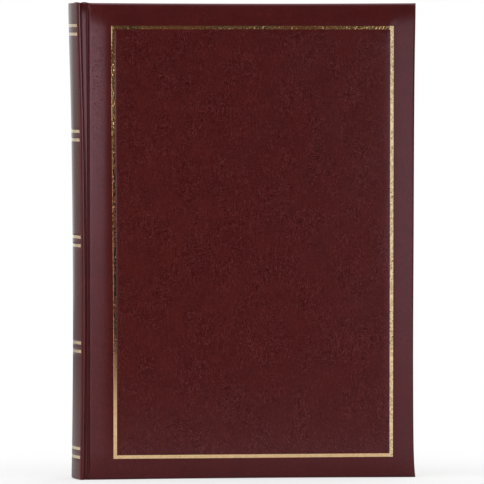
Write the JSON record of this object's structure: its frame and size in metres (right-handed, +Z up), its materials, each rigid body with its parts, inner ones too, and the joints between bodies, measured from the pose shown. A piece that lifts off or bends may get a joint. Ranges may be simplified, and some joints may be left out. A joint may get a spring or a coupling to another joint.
{
  "type": "stamp album",
  "caption": "Stock album for stamps: padded leatherette covers hinged to a rounded spine, gold frame on the front, card leaves with clear strips on linen hinges inside.",
  "frame": {"origin": "middle of the footprint, on the surface the closed album stands on", "axes": "+X from the spine to the fore edge, +Y from the front cover to the back cover, +Z up along the spine"},
  "size_m": [0.2208, 0.0406, 0.305],
  "materials": {
    "leatherette": "burgundy grained leatherette, satin",
    "foil": "hot stamped gold foil",
    "board": "grey board",
    "foam": "soft foam padding",
    "endpaper": "cream endpaper",
    "linen": "white bookbinding linen",
    "headband": "red and white woven headband",
    "card": "smooth white card",
    "film": "clear glassine strip",
    "glassine": "translucent glassine interleaf"
  },
  "bodies": {
    "spine": {"spine_board": "board", "spine_leatherette": "leatherette", "spine_gold_bands": "foil", "spine_linen": "linen", "guard_stubs": "card", "guard_spacers": "card", "linen_hinges": "linen", "headbands": "headband", "endpaper_hinges": "endpaper", "front_joint": "leatherette", "back_joint": "leatherette"},
    "front_cover": {"front_board": "board", "front_padding": "foam", "front_leatherette": "leatherette", "front_gold_frame": "foil", "front_pastedown": "endpaper"},
    "back_cover": {"back_board": "board", "back_padding": "foam", "back_leatherette": "leatherette", "back_pastedown": "endpaper"},
    "leaf_01": {"leaf_01": "card", "leaf_01_strips": "film"},
    "leaf_02": {"leaf_02": "card", "leaf_02_strips": "film", "leaf_02_interleaves": "glassine"},
    "leaf_03": {"leaf_03": "card", "leaf_03_strips": "film"},
    "leaf_04": {"leaf_04": "card", "leaf_04_strips": "film", "leaf_04_interleaves": "glassine"},
    "leaf_05": {"leaf_05": "card", "leaf_05_strips": "film"},
    "leaf_06": {"leaf_06": "card", "leaf_06_strips": "film", "leaf_06_interleaves": "glassine"},
    "leaf_07": {"leaf_07": "card", "leaf_07_strips": "film"},
    "leaf_08": {"leaf_08": "card", "leaf_08_strips": "film", "leaf_08_interleaves": "glassine"},
    "leaf_09": {"leaf_09": "card", "leaf_09_strips": "film"},
    "leaf_10": {"leaf_10": "card", "leaf_10_strips": "film", "leaf_10_interleaves": "glassine"},
    "leaf_11": {"leaf_11": "card", "leaf_11_strips": "film"},
    "leaf_12": {"leaf_12": "card", "leaf_12_strips": "film", "leaf_12_interleaves": "glassine"},
    "leaf_13": {"leaf_13": "card", "leaf_13_strips": "film"},
    "leaf_14": {"leaf_14": "card", "leaf_14_strips": "film", "leaf_14_interleaves": "glassine"},
    "leaf_15": {"leaf_15": "card", "leaf_15_strips": "film"},
    "leaf_16": {"leaf_16": "card", "leaf_16_strips": "film", "leaf_16_interleaves": "glassine"}
  },
  "joints": [
    {"name": "front_cover_hinge", "type": "hinge", "parent": "spine", "child": "front_cover", "pos_m": [-0.1039, -0.0195, 0.1525], "axis": [0, 0, -1], "range_deg": [0, 120], "deforming": ["front_joint", "endpaper_hinges"]},
    {"name": "back_cover_hinge", "type": "hinge", "parent": "spine", "child": "back_cover", "pos_m": [-0.1039, 0.0195, 0.1525], "axis": [0, 0, 1], "range_deg": [0, 120], "deforming": ["back_joint", "endpaper_hinges"]},
    {"name": "leaf_01_hinge", "type": "hinge", "parent": "spine", "child": "leaf_01", "pos_m": [-0.0944, -0.01312, 0.1525], "axis": [0, 0, -1], "range_deg": [0, 80], "deforming": ["linen_hinges"]},
    {"name": "leaf_02_hinge", "type": "hinge", "parent": "spine", "child": "leaf_02", "pos_m": [-0.0944, -0.01137, 0.1525], "axis": [0, 0, -1], "range_deg": [0, 70], "deforming": ["linen_hinges"]},
    {"name": "leaf_03_hinge", "type": "hinge", "parent": "spine", "child": "leaf_03", "pos_m": [-0.0944, -0.00962, 0.1525], "axis": [0, 0, -1], "range_deg": [0, 60], "deforming": ["linen_hinges"]},
    {"name": "leaf_04_hinge", "type": "hinge", "parent": "spine", "child": "leaf_04", "pos_m": [-0.0944, -0.00788, 0.1525], "axis": [0, 0, -1], "range_deg": [0, 50], "deforming": ["linen_hinges"]},
    {"name": "leaf_05_hinge", "type": "hinge", "parent": "spine", "child": "leaf_05", "pos_m": [-0.0944, -0.00613, 0.1525], "axis": [0, 0, -1], "range_deg": [0, 40], "deforming": ["linen_hinges"]},
    {"name": "leaf_06_hinge", "type": "hinge", "parent": "spine", "child": "leaf_06", "pos_m": [-0.0944, -0.00438, 0.1525], "axis": [0, 0, -1], "range_deg": [0, 30], "deforming": ["linen_hinges"]},
    {"name": "leaf_07_hinge", "type": "hinge", "parent": "spine", "child": "leaf_07", "pos_m": [-0.0944, -0.00263, 0.1525], "axis": [0, 0, -1], "range_deg": [0, 20], "deforming": ["linen_hinges"]},
    {"name": "leaf_08_hinge", "type": "hinge", "parent": "spine", "child": "leaf_08", "pos_m": [-0.0944, -0.00088, 0.1525], "axis": [0, 0, -1], "range_deg": [0, 10], "deforming": ["linen_hinges"]},
    {"name": "leaf_09_hinge", "type": "hinge", "parent": "spine", "child": "leaf_09", "pos_m": [-0.0944, 0.00088, 0.1525], "axis": [0, 0, 1], "range_deg": [0, 10], "deforming": ["linen_hinges"]},
    {"name": "leaf_10_hinge", "type": "hinge", "parent": "spine", "child": "leaf_10", "pos_m": [-0.0944, 0.00263, 0.1525], "axis": [0, 0, 1], "range_deg": [0, 20], "deforming": ["linen_hinges"]},
    {"name": "leaf_11_hinge", "type": "hinge", "parent": "spine", "child": "leaf_11", "pos_m": [-0.0944, 0.00438, 0.1525], "axis": [0, 0, 1], "range_deg": [0, 30], "deforming": ["linen_hinges"]},
    {"name": "leaf_12_hinge", "type": "hinge", "parent": "spine", "child": "leaf_12", "pos_m": [-0.0944, 0.00613, 0.1525], "axis": [0, 0, 1], "range_deg": [0, 40], "deforming": ["linen_hinges"]},
    {"name": "leaf_13_hinge", "type": "hinge", "parent": "spine", "child": "leaf_13", "pos_m": [-0.0944, 0.00788, 0.1525], "axis": [0, 0, 1], "range_deg": [0, 50], "deforming": ["linen_hinges"]},
    {"name": "leaf_14_hinge", "type": "hinge", "parent": "spine", "child": "leaf_14", "pos_m": [-0.0944, 0.00962, 0.1525], "axis": [0, 0, 1], "range_deg": [0, 60], "deforming": ["linen_hinges"]},
    {"name": "leaf_15_hinge", "type": "hinge", "parent": "spine", "child": "leaf_15", "pos_m": [-0.0944, 0.01137, 0.1525], "axis": [0, 0, 1], "range_deg": [0, 70], "deforming": ["linen_hinges"]},
    {"name": "leaf_16_hinge", "type": "hinge", "parent": "spine", "child": "leaf_16", "pos_m": [-0.0944, 0.01312, 0.1525], "axis": [0, 0, 1], "range_deg": [0, 80], "deforming": ["linen_hinges"]}
  ],
  "couplings": [
    {"joint": "leaf_01_hinge", "follows": "front_cover_hinge", "ratio": 0.66667},
    {"joint": "leaf_02_hinge", "follows": "front_cover_hinge", "ratio": 0.58333},
    {"joint": "leaf_03_hinge", "follows": "front_cover_hinge", "ratio": 0.5},
    {"joint": "leaf_04_hinge", "follows": "front_cover_hinge", "ratio": 0.41667},
    {"joint": "leaf_05_hinge", "follows": "front_cover_hinge", "ratio": 0.33333},
    {"joint": "leaf_06_hinge", "follows": "front_cover_hinge", "ratio": 0.25},
    {"joint": "leaf_07_hinge", "follows": "front_cover_hinge", "ratio": 0.16667},
    {"joint": "leaf_08_hinge", "follows": "front_cover_hinge", "ratio": 0.083333},
    {"joint": "leaf_09_hinge", "follows": "back_cover_hinge", "ratio": 0.083333},
    {"joint": "leaf_10_hinge", "follows": "back_cover_hinge", "ratio": 0.16667},
    {"joint": "leaf_11_hinge", "follows": "back_cover_hinge", "ratio": 0.25},
    {"joint": "leaf_12_hinge", "follows": "back_cover_hinge", "ratio": 0.33333},
    {"joint": "leaf_13_hinge", "follows": "back_cover_hinge", "ratio": 0.41667},
    {"joint": "leaf_14_hinge", "follows": "back_cover_hinge", "ratio": 0.5},
    {"joint": "leaf_15_hinge", "follows": "back_cover_hinge", "ratio": 0.58333},
    {"joint": "leaf_16_hinge", "follows": "back_cover_hinge", "ratio": 0.66667}
  ]
}
